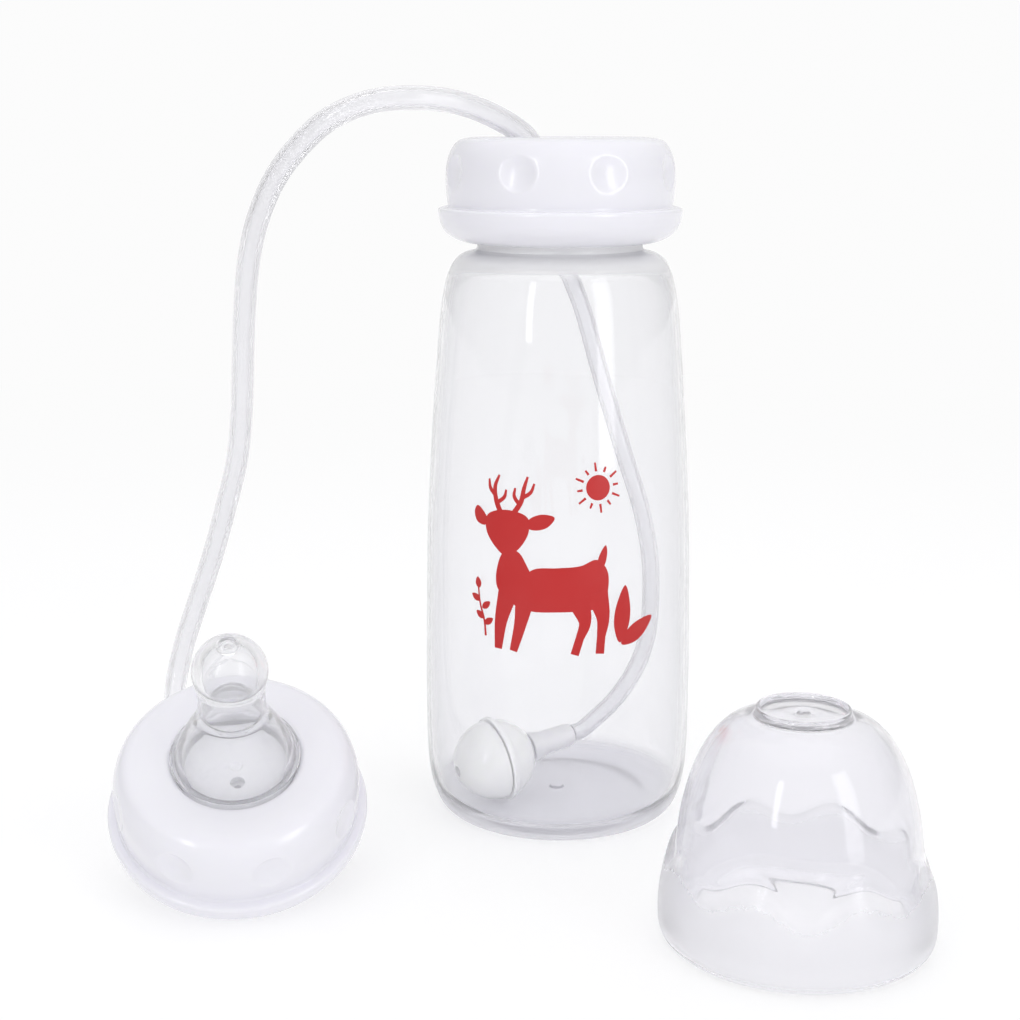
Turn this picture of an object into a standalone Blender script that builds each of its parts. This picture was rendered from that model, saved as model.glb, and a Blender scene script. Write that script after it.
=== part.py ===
"""Hands-free feeding bottle: a clear bottle with a screw collar, a weighted straw inside, a feeding hose
that leaves the collar and ends in a separate nipple unit, and the clear dome cap beside it.

Metres, +Z up. The bottle's axis stands at (BOTTLE_X, BOTTLE_Y); the origin is under the middle of the
whole layout, on the surface that it stands on."""

import math

import bmesh
import bpy
from mathutils import Matrix, Vector

MM = 0.001

# ---- driving dimensions, in millimetres ----
BODY_R = 30.2            # widest radius of the bottle
BODY_WALL = 1.4
FLOOR_T = 2.6            # thickness of the bottle's floor
PUNT_R = 19.0            # radius of the shallow recess under the floor
PUNT_H = 0.7
NECK_R = 17.0
NECK_BORE_R = 15.5
NECK_TOP = 148.0
THREAD_PITCH = 3.6
THREAD_TURNS = 1.5
THREAD_CREST_R = 18.2

COLLAR_LOW = 129.9       # collar's lowest edge on the bottle
COLLAR_TALL = 22.5
COLLAR_LEDGE = 7.5       # height of the flange's ledge above the lowest edge
COLLAR_FLANGE_R = 26.65
COLLAR_WALL_R = 25.0
COLLAR_BORE_R = 19.2
COLLAR_MOUTH_R = 13.0
COLLAR_PLATE = 1.5       # thickness of the collar's top plate
DIMPLES = 8
DIMPLE_UP = 16.2         # height of the dimples' centres above the lowest edge
DIMPLE_BALL_R = 11.0
DIMPLE_DEEP = 1.25

DISC_R = 17.6
PORT_X = -5.0            # the hose's and straw's port, off the bottle's axis
VENT_X = 6.0

HOSE_R = 2.5
STRAW_R = 2.0

BALL_R = 9.2
BALL_AT = (-14.4, -9.3, 13.5)
BALL_AXIS = (0.877, 0.453, 0.149)   # from the inlet to the ferrule

NIP_AT = (-67.3, -46.0, 17.5)       # centre of the nipple unit's flange ledge
NIP_TILT = 29.5                     # its axis leans this far towards -Y
NIP_LEAN = 3.5                      # and this far towards +X
NIP_PORT = (0.8, -4.2)              # the hole in its plug, off its axis

CAP_AT = (45.0, -70.4)
CAP_LOBES = 8
CAP_LOBE_OUT = 0.12
CAP_LOBE_UP = 2.3        # the skirt's top edge rises and falls by this much
CAP_LOBE_AT = -5.0       # degrees from the front to the middle of the front lobe

BOTTLE_X = 11.2          # the bottle's axis in the layout
BOTTLE_Y = 34.0

SEG = 28
GAP = 0.3

WHITE = (0.86, 0.85, 0.89)


# ---- helpers ----
def clear_scene():
    for obj in list(bpy.data.objects):
        bpy.data.objects.remove(obj, do_unlink=True)


def material(name, colour, rough, metallic=0.0, alpha=1.0):
    mat = bpy.data.materials.new(name)
    mat.use_nodes = True
    shader = mat.node_tree.nodes["Principled BSDF"]
    shader.inputs["Base Color"].default_value = (*colour, 1.0)
    shader.inputs["Roughness"].default_value = rough
    shader.inputs["Metallic"].default_value = metallic
    shader.inputs["Alpha"].default_value = alpha
    return mat


def finish(name, bm, mat, parent=None):
    bmesh.ops.remove_doubles(bm, verts=bm.verts, dist=1e-7)
    bmesh.ops.recalc_face_normals(bm, faces=bm.faces)
    mesh = bpy.data.meshes.new(name)
    bm.to_mesh(mesh)
    bm.free()
    mesh.shade_smooth()
    mesh.set_sharp_from_angle(angle=math.radians(35))
    obj = bpy.data.objects.new(name, mesh)
    bpy.context.scene.collection.objects.link(obj)
    if mat:
        obj.data.materials.append(mat)
    if parent:
        obj.parent = parent
    return obj


def lathe(profile, segments=SEG, wave=None):
    """A closed turned solid about Z. profile is a closed loop of (radius, height) in mm; a point at radius 0 is a
    pole. wave(radius, height, angle) may move a point."""
    bm = bmesh.new()
    rings = []
    for r, z in profile:
        if r < 1e-6:
            rings.append([bm.verts.new((0, 0, z * MM))])
            continue
        ring = []
        for i in range(segments):
            angle = 2 * math.pi * i / segments
            rr, zz = wave(r, z, angle) if wave else (r, z)
            ring.append(bm.verts.new((rr * MM * math.cos(angle), rr * MM * math.sin(angle), zz * MM)))
        rings.append(ring)
    for k in range(len(rings)):
        a, b = rings[k], rings[(k + 1) % len(rings)]
        if len(a) == 1 and len(b) == 1:
            continue
        for i in range(segments):
            j = (i + 1) % segments
            if len(a) == 1:
                bm.faces.new((a[0], b[j], b[i]))
            elif len(b) == 1:
                bm.faces.new((a[i], a[j], b[0]))
            else:
                bm.faces.new((a[i], a[j], b[j], b[i]))
    return bm


def thread(root_r, crest_r, z_start, turns, root_half, crest_half, phase=0.0, steps_turn=20):
    """A right-hand ridge about Z, as a swept trapezoid that fades in and out at its ends."""
    bm = bmesh.new()
    steps = int(turns * steps_turn)
    rings = []
    for k in range(steps + 1):
        part = k / steps
        angle = phase + 2 * math.pi * turns * part
        z = z_start + THREAD_PITCH * turns * part
        fade = min(1.0, 0.12 + 8 * min(part, 1 - part))
        crest = root_r + (crest_r - root_r) * fade
        ring = []
        for r, dz in ((root_r, -root_half), (crest, -crest_half), (crest, crest_half), (root_r, root_half)):
            ring.append(bm.verts.new((r * MM * math.cos(angle), r * MM * math.sin(angle), (z + dz) * MM)))
        rings.append(ring)
    for a, b in zip(rings, rings[1:]):
        for i in range(4):
            j = (i + 1) % 4
            bm.faces.new((a[i], a[j], b[j], b[i]))
    bm.faces.new(rings[0][::-1])
    bm.faces.new(rings[-1])
    return bm


def helper(name, bm, parent=None):
    obj = finish(name, bm, None, parent)
    obj.hide_render = True
    obj.display_type = "WIRE"
    return obj


def boolean(obj, other, operation):
    mod = obj.modifiers.new(operation.lower() + "_" + other.name, "BOOLEAN")
    mod.object = other
    mod.operation = operation
    mod.solver = "EXACT"


def ball(r, segments=16, rings=10):
    bm = bmesh.new()
    bmesh.ops.create_uvsphere(bm, u_segments=segments, v_segments=rings, radius=r * MM)
    return bm


def smooth_route(points, step):
    """Points about `step` apart along a Catmull-Rom curve through `points`, in mm."""
    pts = [Vector(p) for p in points]
    pts = [2 * pts[0] - pts[1]] + pts + [2 * pts[-1] - pts[-2]]
    fine = []
    for i in range(1, len(pts) - 2):
        p0, p1, p2, p3 = pts[i - 1:i + 3]
        t0 = 0.0
        t1 = t0 + (p1 - p0).length ** 0.5
        t2 = t1 + (p2 - p1).length ** 0.5
        t3 = t2 + (p3 - p2).length ** 0.5
        for k in range(24):
            t = t1 + (t2 - t1) * k / 24
            a1 = p0 * ((t1 - t) / (t1 - t0)) + p1 * ((t - t0) / (t1 - t0))
            a2 = p1 * ((t2 - t) / (t2 - t1)) + p2 * ((t - t1) / (t2 - t1))
            a3 = p2 * ((t3 - t) / (t3 - t2)) + p3 * ((t - t2) / (t3 - t2))
            b1 = a1 * ((t2 - t) / (t2 - t0)) + a2 * ((t - t0) / (t2 - t0))
            b2 = a2 * ((t3 - t) / (t3 - t1)) + a3 * ((t - t1) / (t3 - t1))
            fine.append(b1 * ((t2 - t) / (t2 - t1)) + b2 * ((t - t1) / (t2 - t1)))
    fine.append(pts[-2])
    lengths = [0.0]
    for a, b in zip(fine, fine[1:]):
        lengths.append(lengths[-1] + (b - a).length)
    count = max(2, round(lengths[-1] / step))
    out = []
    k = 0
    for i in range(count + 1):
        want = lengths[-1] * i / count
        while k < len(lengths) - 2 and lengths[k + 1] < want:
            k += 1
        span = lengths[k + 1] - lengths[k]
        out.append(fine[k].lerp(fine[k + 1], (want - lengths[k]) / span if span else 0.0))
    first, last = Vector(points[0]), Vector(points[-1])
    lead = 1.2
    out.insert(1, first + (Vector(points[1]) - first).normalized() * lead)
    out.insert(-1, last + (Vector(points[-2]) - last).normalized() * lead)
    return out


def tube(name, points, r, mat, parent, resolution):
    curve = bpy.data.curves.new(name, "CURVE")
    curve.dimensions = "3D"
    curve.bevel_depth = r * MM
    curve.bevel_resolution = resolution
    curve.use_fill_caps = True
    spline = curve.splines.new("POLY")
    spline.points.add(len(points) - 1)
    for point, co in zip(spline.points, points):
        point.co = (co[0] * MM, co[1] * MM, co[2] * MM, 1.0)
    curve.materials.append(mat)
    obj = bpy.data.objects.new(name, curve)
    bpy.context.scene.collection.objects.link(obj)
    obj.parent = parent
    return obj


def empty(name, matrix, parent=None):
    obj = bpy.data.objects.new(name, None)
    bpy.context.scene.collection.objects.link(obj)
    obj.empty_display_size = 0.02
    if parent:
        obj.parent = parent
    obj.matrix_local = matrix
    return obj


# ---- outlines ----
def bottle_profile():
    outer = [(0, PUNT_H), (PUNT_R, PUNT_H), (PUNT_R + 1.6, 0), (24.0, 0), (25.9, 0.7), (27.7, 2.8), (29.0, 6.2),
             (29.8, 10.5), (BODY_R - 0.1, 16), (BODY_R, 26), (BODY_R, 36), (BODY_R - 0.2, 48), (BODY_R - 0.4, 60),
             (29.35, 72), (28.8, 83), (27.95, 95), (27.1, 106), (26.5, 113), (25.7, 119), (24.5, 123.6), (23.0, 126.0),
             (21.0, 127.5), (18.4, 128.3), (18.2, 129.6), (NECK_R, 130.4), (NECK_R, NECK_TOP - 0.4), (NECK_R - 0.4, NECK_TOP)]
    inner = [(NECK_BORE_R, NECK_TOP), (NECK_BORE_R, 127.6), (17.5, 126.6), (20.3, 126.0), (22.0, 124.8), (23.3, 122.4),
             (24.4, 118.4), (25.1, 112.8), (25.7, 106), (26.55, 95), (27.4, 83), (27.95, 72), (28.4, 60), (28.6, 48),
             (28.8, 36), (28.8, 26), (28.6, 16), (28.2, 10.5), (27.2, 6.4), (25.9, 4.3), (23.8, 3.4), (0, 3.3)]
    return outer + inner


def collar_profile():
    """Local heights above the flange's ledge."""
    low, top = -COLLAR_LEDGE, COLLAR_TALL - COLLAR_LEDGE
    f = COLLAR_FLANGE_R
    outer = [(COLLAR_BORE_R, low), (20.6, low + 0.1), (22.4, low + 0.55), (24.2, low + 1.5), (25.5, low + 2.7), (26.2, low + 3.9), (26.5, low + 5.3),
             (f, -1.0), (f - 0.35, -0.25), (f - 0.9, 0), (COLLAR_WALL_R + 0.2, 0), (COLLAR_WALL_R - 0.4, 0.6), (COLLAR_WALL_R, 4.5), (COLLAR_WALL_R - 0.05, 7.5), (COLLAR_WALL_R - 0.75, 10.8),
             (COLLAR_WALL_R - 1.65, 13.0), (COLLAR_WALL_R - 2.9, 14.2), (COLLAR_WALL_R - 4.8, 14.85), (COLLAR_WALL_R - 7.0, top)]
    plate = [(14.2, top - 0.05), (COLLAR_MOUTH_R + 0.3, top - 0.35), (COLLAR_MOUTH_R, top - 0.8),
             (COLLAR_MOUTH_R, top - COLLAR_PLATE), (COLLAR_BORE_R, top - COLLAR_PLATE)]
    return outer + plate


def make_collar(name, mat, parent, phase):
    """A screw collar about the parent's Z, its ledge at height 0."""
    collar = finish(name, lathe(collar_profile(), 32), mat, parent)
    ridge = helper(name + "_ridge", thread(COLLAR_BORE_R + 0.25, 17.65, THREAD_LOW - (COLLAR_LOW + COLLAR_LEDGE) + THREAD_PITCH / 2 - 0.05,
                                           1.25, 0.65, 0.35, phase), parent)
    boolean(collar, ridge, "UNION")
    for i in range(DIMPLES):
        angle = -math.pi / 2 + (i + 0.5) * 2 * math.pi / DIMPLES
        out = COLLAR_WALL_R - 0.1 - DIMPLE_DEEP + DIMPLE_BALL_R
        cutter = helper(f"{name}_dimple_{i}", ball(DIMPLE_BALL_R, 14, 9), parent)
        cutter.location = (out * MM * math.cos(angle), out * MM * math.sin(angle), (DIMPLE_UP - COLLAR_LEDGE) * MM)
        boolean(collar, cutter, "DIFFERENCE")
    return collar


THREAD_LOW = 133.4

# ---- build ----
clear_scene()
clear_pp = material("clear_pp", (0.93, 0.93, 0.95), 0.08, alpha=0.35)
white_pp = material("white_pp", WHITE, 0.25)
insert_pp = material("insert_pp", (0.88, 0.88, 0.92), 0.3)
soft_seal = material("soft_seal", (0.9, 0.9, 0.92), 0.45)
hose_silicone = material("hose_silicone", (0.92, 0.92, 0.94), 0.25, alpha=0.6)
nipple_silicone = material("nipple_silicone", (0.93, 0.93, 0.95), 0.12, alpha=0.45)
weight_white = material("weight_white", (0.88, 0.88, 0.92), 0.25)
weight_grey = material("weight_grey", (0.78, 0.78, 0.84), 0.35)
steel = material("weight_steel", (0.6, 0.6, 0.62), 0.3, 1.0)
cap_clear = material("cap_clear", (0.93, 0.93, 0.95), 0.1, alpha=0.35)

bottle_axis = empty("bottle_axis", Matrix.Translation((BOTTLE_X * MM, BOTTLE_Y * MM, 0)))

# the bottle, with its thread moulded on
bottle = finish("bottle_body", lathe(bottle_profile(), 32), clear_pp, bottle_axis)
boolean(bottle, helper("neck_thread", thread(NECK_R - 0.3, THREAD_CREST_R, THREAD_LOW, THREAD_TURNS, 0.75, 0.4), bottle_axis), "UNION")

# the collar turns about the bottle's axis, on this parent
collar_axis = empty("collar_axis", Matrix.Translation((0, 0, (COLLAR_LOW + COLLAR_LEDGE) * MM)), bottle_axis)
make_collar("bottle_collar", white_pp, collar_axis, 0.4)

# the insert held under the collar's top plate: a dished disc, its seal, the tube connector and the vent valve
gasket = finish("disc_gasket", lathe([(14.2, NECK_TOP + GAP), (17.2, NECK_TOP + GAP), (17.2, NECK_TOP + 1.1), (14.2, NECK_TOP + 1.1)]), soft_seal, bottle_axis)
DISC_LOW = NECK_TOP + 1.1 + GAP
DISH_FLOOR = 143.4
disc = finish("tube_disc", lathe([
    (0, DISH_FLOOR), (12.2, DISH_FLOOR), (13.4, DISH_FLOOR + 1.0), (13.6, DISC_LOW), (DISC_R, DISC_LOW),
    (DISC_R, DISC_LOW + 1.1), (12.3, DISC_LOW + 1.1), (12.0, DISC_LOW + 0.6), (11.9, DISH_FLOOR + 1.8), (11.3, DISH_FLOOR + 1.2), (0, DISH_FLOOR + 1.2)]),
    insert_pp, bottle_axis)
for label, x, r in (("port", PORT_X, 2.9), ("vent", VENT_X, 2.1)):
    cut = helper("disc_" + label + "_cut", lathe([(0, DISH_FLOOR - 3), (r, DISH_FLOOR - 3), (r, DISH_FLOOR + 5), (0, DISH_FLOOR + 5)], 20), bottle_axis)
    cut.location.x = x * MM
    boolean(disc, cut, "DIFFERENCE")

swivel_axis = empty("swivel_axis", Matrix.Translation((PORT_X * MM, 0, 0)), bottle_axis)
HOSE_LOW = 146.3
STRAW_TOP = 140.6
finish("tube_connector", lathe([
    (0.9, STRAW_TOP + GAP), (2.0, STRAW_TOP + GAP), (2.3, STRAW_TOP + 1.4), (2.6, DISH_FLOOR - 0.9), (2.6, DISH_FLOOR + 1.5), (3.9, DISH_FLOOR + 1.5),
    (3.9, DISH_FLOOR + 2.2), (2.5, HOSE_LOW - GAP), (0.9, HOSE_LOW - GAP)], 24), insert_pp, swivel_axis)
valve = finish("vent_valve", lathe([
    (0, DISH_FLOOR - 3.6), (0.7, DISH_FLOOR - 3.6), (1.8, DISH_FLOOR - 0.8), (1.8, DISH_FLOOR + 1.5), (3.1, DISH_FLOOR + 1.5), (3.1, DISH_FLOOR + 2.1),
    (2.7, DISH_FLOOR + 2.4), (1.2, DISH_FLOOR + 2.4), (0.9, DISH_FLOOR + 1.0), (0, DISH_FLOOR + 1.0)], 20), soft_seal, bottle_axis)
valve.location.x = VENT_X * MM

# the straw hangs from the connector and ends in the weight
ball_axis = Vector(BALL_AXIS).normalized()
FERRULE_LONG = 20.0
ferrule_end = Vector(BALL_AT) + ball_axis * FERRULE_LONG
straw_points = [(PORT_X, 0, STRAW_TOP), (PORT_X + 0.2, 0, 137), (-2.4, 0, 131.5), (1.6, 0, 124.2), (5.0, 0, 115.5), (9.3, 0, 100.5),
                (14.6, 0, 83.2), (18.9, 0, 69.5), (21.0, 0, 58.0), (21.3, 0, 48.0), (20.5, 0, 39.4), (17.7, 0.2, 31.5),
                (13.2, 0.6, 24.4), (8.6, 0.9, 19.6), tuple(ferrule_end + ball_axis * (GAP + 2.4)), tuple(ferrule_end + ball_axis * GAP)]
straw_world = [(x - PORT_X, y, z) for x, y, z in straw_points]
tube("straw_tube", smooth_route(straw_world, 5.0), STRAW_R, hose_silicone, swivel_axis, 2)

axis_turn = Vector((0, 0, 1)).rotation_difference(ball_axis).to_matrix().to_4x4()
weight_axis = empty("weight_axis", Matrix.Translation((Vector(BALL_AT) - Vector((PORT_X, 0, 0))) * MM) @ axis_turn, swivel_axis)


def dome(r_out, r_in, side, hole, rim, rim_r):
    """Half a hollow ball about Z on one side of z = 0, with a hole at its pole and a rim at its open edge."""
    outer = [(r_out * math.cos(math.radians(a)), side * r_out * math.sin(math.radians(a))) for a in (14, 28, 42, 56)]
    top = math.degrees(math.acos(hole / r_out))
    outer += [(r_out * math.cos(math.radians(a)), side * r_out * math.sin(math.radians(a))) for a in ((56 + top) / 2, top)]
    inner = [(hole, side * math.sqrt(r_in ** 2 - hole ** 2))]
    inner += [(r_in * math.cos(math.radians(a)), side * r_in * math.sin(math.radians(a))) for a in (56, 38, 20)]
    inner += [(r_in, side * GAP / 2)]
    start = [(rim_r, side * GAP / 2), (rim_r, side * rim)] if rim else [(r_out, side * GAP / 2)]
    return start + outer + inner


finish("weight_shell_inlet", lathe(dome(BALL_R, 7.9, -1, 1.3, 0, 0), 20), weight_white, weight_axis)
finish("weight_shell_outlet", lathe(dome(BALL_R, 7.9, 1, 2.3, 1.5, 9.8), 20), weight_white, weight_axis)
finish("weight_core", lathe([(2.2, -4.6), (5.0, -4.6), (6.2, -3.2), (6.2, 3.2), (5.0, 4.6), (2.2, 4.6)], 20), steel, weight_axis)
seat = math.sqrt(BALL_R ** 2 - 3.4 ** 2) + GAP + 0.25
finish("straw_ferrule", lathe([(1.2, seat), (3.4, seat), (3.35, seat + 1.4), (2.75, seat + 3.2), (2.6, FERRULE_LONG - 0.6), (2.35, FERRULE_LONG), (1.2, FERRULE_LONG)], 20),
       weight_grey, weight_axis)

# the nipple unit: the same collar on a short threaded plug, with the nipple clamped between them
lean, tilt = math.radians(NIP_LEAN), math.radians(NIP_TILT)
nip_n = Vector((math.sin(lean), -math.sin(tilt) * math.cos(lean), math.cos(tilt) * math.cos(lean)))
nip_a = (Vector((1, 0, 0)) - nip_n * nip_n.x).normalized()
nip_b = nip_n.cross(nip_a)
nip_turn = Matrix((nip_a, nip_b, nip_n)).transposed().to_4x4()
nip_axis = empty("nipple_axis", Matrix.Translation((Vector(NIP_AT) - Vector((PORT_X, 0, 0))) * MM) @ nip_turn, swivel_axis)
make_collar("nipple_collar", white_pp, nip_axis, 0.4)

PLATE_TOP = 11.6
PLATE_LOW = 10.2
PORT_HUB_LOW = 3.6
plug = finish("nipple_plug", lathe([
    (0, PLATE_LOW), (15.2, PLATE_LOW), (15.4, -7.2), (15.6, -7.5), (NECK_R, -7.5), (NECK_R, PLATE_TOP - 0.5), (NECK_R - 0.5, PLATE_TOP), (0, PLATE_TOP)], 32), insert_pp, nip_axis)
boolean(plug, helper("plug_thread", thread(NECK_R - 0.3, THREAD_CREST_R, THREAD_LOW - (COLLAR_LOW + COLLAR_LEDGE), 1.25, 0.75, 0.4), nip_axis), "UNION")
hub = helper("plug_hub", lathe([(0, PORT_HUB_LOW), (4.4, PORT_HUB_LOW), (4.4, PLATE_LOW + 0.4), (0, PLATE_LOW + 0.4)], 20), nip_axis)
hub_bore = helper("plug_hub_bore", lathe([(0, PORT_HUB_LOW - 1), (3.2, PORT_HUB_LOW - 1), (3.2, PLATE_LOW), (0, PLATE_LOW)], 20), nip_axis)
hub_hole = helper("plug_hub_hole", lathe([(0, PLATE_LOW - 1), (1.5, PLATE_LOW - 1), (1.5, PLATE_TOP + 1), (0, PLATE_TOP + 1)], 16), nip_axis)
for cutter, operation in ((hub, "UNION"), (hub_bore, "DIFFERENCE"), (hub_hole, "DIFFERENCE")):
    cutter.location = (NIP_PORT[0] * MM, NIP_PORT[1] * MM, 0)
    boolean(plug, cutter, operation)

port_axis = empty("nipple_port_axis", Matrix.Translation((NIP_PORT[0] * MM, NIP_PORT[1] * MM, 0)), nip_axis)
finish("nipple_valve", lathe([
    (0.8, PLATE_LOW - GAP - 0.2), (2.9, PLATE_LOW - GAP), (2.9, 8.4), (1.5, 7.4), (0.5, 6.8), (0.35, 7.0), (0.35, 7.5)][::-1], 20), soft_seal, port_axis)
finish("hose_connector", lathe([
    (0.9, 6.3), (2.9, 6.3), (2.9, PORT_HUB_LOW - GAP), (3.8, PORT_HUB_LOW - GAP), (3.8, PORT_HUB_LOW - 1.1), (2.5, 1.8), (0.9, 1.8)][::-1], 24), insert_pp, port_axis)

NIPPLE_BASE = PLATE_TOP + GAP
BULB_H, BULB_R = 40.0, 7.4
outer_n = [(17.2, NIPPLE_BASE), (17.2, 13.1), (12.6, 13.1), (12.6, 15.2), (12.75, 15.6), (12.5, 17.2), (11.5, 19.7), (9.7, 22.6), (8.0, 25.4), (7.0, 28.2),
           (6.8, 30.2), (7.0, 33.6), (7.35, 37.0)] + [(BULB_R * math.cos(math.radians(a)), BULB_H + BULB_R * math.sin(math.radians(a))) for a in (0, 22, 44, 64)]
outer_n += [(2.0, BULB_H + 7.13), (1.9, BULB_H + 7.7), (1.2, BULB_H + 7.9), (0, BULB_H + 7.9)]
inner_n = [(0, BULB_H + 5.6), (2.6, BULB_H + 5.0), (4.9, BULB_H + 2.6), (5.7, BULB_H), (5.4, 35), (5.1, 30.2), (5.6, 27.4), (7.0, 23.8), (9.0, 20.2), (10.6, 17.0), (11.0, 15.0), (11.0, NIPPLE_BASE)]
finish("nipple", lathe(outer_n + inner_n, 24), nipple_silicone, nip_axis)

# the feeding hose, from the bottle's connector to the plug's connector, on one smooth curve
port = Vector(NIP_AT) + nip_a * NIP_PORT[0] + nip_b * NIP_PORT[1]


def along(h):
    return tuple(port + nip_n * h)


hose_points = [(PORT_X, 0, HOSE_LOW), (PORT_X, 0, HOSE_LOW + 1.6), (-5.9, -0.2, 150.0), (-8.6, -0.9, 153.2), (-15.8, -4.4, 157.4), (-23.3, -8.2, 159.8), (-32.2, -11.6, 160.5), (-40.2, -13.2, 159.6),
               (-48.8, -12.8, 156.1), (-55.6, -10.4, 150.4), (-61.4, -6.6, 143.4), (-65.6, -2.7, 135.2), (-68.5, 1.6, 126.2), (-70.4, 5.4, 114.6), (-71.6, 8.4, 103),
               (-72.6, 10.6, 91), (-74.4, 12.9, 79), (-77.8, 15.0, 67), (-81.6, 16.9, 55), (-85.8, 18.6, 43.4), (-89.6, 18.9, 32.4), (-91.8, 17.2, 22.4),
               (-92.0, 13.0, 12.6), (-90.2, 5.4, 5.4), (-86.2, -4.6, 2.9), (-80.6, -15.0, 2.7), (-74.6, -25.0, 2.7), (-70.0, -34.0, 3.6),
               (-67.7, -41.0, 6.3), along(-4.4), along(-0.6), along(0.4), along(1.5)]
tube("feed_hose", smooth_route([(x - PORT_X, y, z) for x, y, z in hose_points], 5.2), HOSE_R, hose_silicone, swivel_axis, 2)


# the dome cap, standing on its rim beside the bottle
def cap_wave(r, z, angle):
    """The skirt's top edge runs in lobes; the lobes fade out above and below it."""
    if r < 15:
        return r, z
    lobe = math.cos(CAP_LOBES * (angle + math.pi / 2 - math.radians(CAP_LOBE_AT)) + math.pi)
    near = min(1.0, max(0.0, (z - 7.0) / 9.5 if z < 17.0 else (26.0 - z) / 9.0))
    near = near * near * (3 - 2 * near)
    return r + CAP_LOBE_OUT * (lobe if z < 17.0 else 0.0), z + CAP_LOBE_UP * near * lobe


cap_outer = [(24.4, 0), (25.5, 0.4), (26.4, 1.2), (27.0, 2.8), (27.1, 5.5), (26.85, 9.5), (26.4, 12.5), (25.7, 15.2), (24.9, 16.6), (24.1, 17.6), (23.75, 20), (23.15, 24.5),
             (22.4, 28), (21.35, 32), (19.85, 36), (18.1, 39.2), (16.0, 41.9), (13.8, 43.7), (11.4, 44.7), (9.5, 44.95), (9.25, 46.4), (8.9, 46.8), (8.5, 46.75), (8.2, 46.3), (8.1, 45.7), (0, 45.6)]
cap_inner = [(0, 44.3), (8.4, 44.1), (11.0, 43.3), (13.2, 42.3), (15.1, 40.7), (17.0, 38.2), (18.6, 35.3), (20.05, 31.6), (21.1, 27.7), (21.85, 24.2), (22.4, 20.2), (23.0, 17.6), (23.8, 15.4), (24.6, 13.2),
             (25.3, 10.2), (25.6, 6.0), (25.4, 3.2), (24.7, 1.4), (23.9, 0.4)]
cap_axis = empty("cap_axis", Matrix.Translation(((BOTTLE_X + CAP_AT[0]) * MM, (BOTTLE_Y + CAP_AT[1]) * MM, 0)))
finish("dome_cap", lathe(cap_outer + cap_inner, 64, cap_wave), cap_clear, cap_axis)
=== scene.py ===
import math

import bmesh
import bpy
from mathutils import Matrix, Vector


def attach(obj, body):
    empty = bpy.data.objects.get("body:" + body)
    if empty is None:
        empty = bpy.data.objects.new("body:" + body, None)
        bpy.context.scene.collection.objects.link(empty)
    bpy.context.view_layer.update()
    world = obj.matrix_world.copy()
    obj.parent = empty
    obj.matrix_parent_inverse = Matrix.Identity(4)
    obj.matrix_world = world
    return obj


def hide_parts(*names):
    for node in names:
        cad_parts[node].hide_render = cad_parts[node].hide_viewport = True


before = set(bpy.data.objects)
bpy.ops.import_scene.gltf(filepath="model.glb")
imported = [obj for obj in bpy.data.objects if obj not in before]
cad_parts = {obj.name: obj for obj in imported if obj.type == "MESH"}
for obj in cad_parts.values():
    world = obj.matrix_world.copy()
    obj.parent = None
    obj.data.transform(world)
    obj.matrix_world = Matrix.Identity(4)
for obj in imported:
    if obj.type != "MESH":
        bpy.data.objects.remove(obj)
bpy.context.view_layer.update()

MM = 0.001
BX, BY = 11.2, 34.0                      # the bottle's axis, mm
scene = bpy.context.scene

# ------------------------------------------------------------------ camera
cam_data = bpy.data.cameras.new("camera")
cam = bpy.data.objects.new("camera", cam_data)
scene.collection.objects.link(cam)
cam_data.sensor_width = 36.0
cam_data.lens = 62.19
cam_data.clip_start = 0.01
cam_data.clip_end = 50
cam.location = ((BX - 10.95) * MM, (BY - 390.0) * MM, 155.6 * MM)
cam.rotation_euler = (math.radians(90 - 12.43), 0, 0)
scene.camera = cam


# ------------------------------------------------------------------ geometry helpers
def catmull(points, steps, closed=False):
    """A smooth curve through 2-D or 3-D points, centripetal."""
    pts = [Vector(p) for p in points]
    if closed:
        pts = [pts[-1]] + pts + [pts[0], pts[1]]
    else:
        pts = [2 * pts[0] - pts[1]] + pts + [2 * pts[-1] - pts[-2]]
    out = []
    for i in range(1, len(pts) - 2):
        p0, p1, p2, p3 = pts[i - 1:i + 3]
        t0 = 0.0
        t1 = t0 + max(1e-6, (p1 - p0).length ** 0.5)
        t2 = t1 + max(1e-6, (p2 - p1).length ** 0.5)
        t3 = t2 + max(1e-6, (p3 - p2).length ** 0.5)
        for k in range(steps):
            t = t1 + (t2 - t1) * k / steps
            a1 = p0 * ((t1 - t) / (t1 - t0)) + p1 * ((t - t0) / (t1 - t0))
            a2 = p1 * ((t2 - t) / (t2 - t1)) + p2 * ((t - t1) / (t2 - t1))
            a3 = p2 * ((t3 - t) / (t3 - t2)) + p3 * ((t - t2) / (t3 - t2))
            b1 = a1 * ((t2 - t) / (t2 - t0)) + a2 * ((t - t0) / (t2 - t0))
            b2 = a2 * ((t3 - t) / (t3 - t1)) + a3 * ((t - t1) / (t3 - t1))
            out.append(b1 * ((t2 - t) / (t2 - t1)) + b2 * ((t - t1) / (t2 - t1)))
    if not closed:
        out.append(pts[-2])
    return out


def sm(points, steps=5):
    return [(max(0.0, p.x), p.y) for p in catmull(points, steps)]


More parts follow.
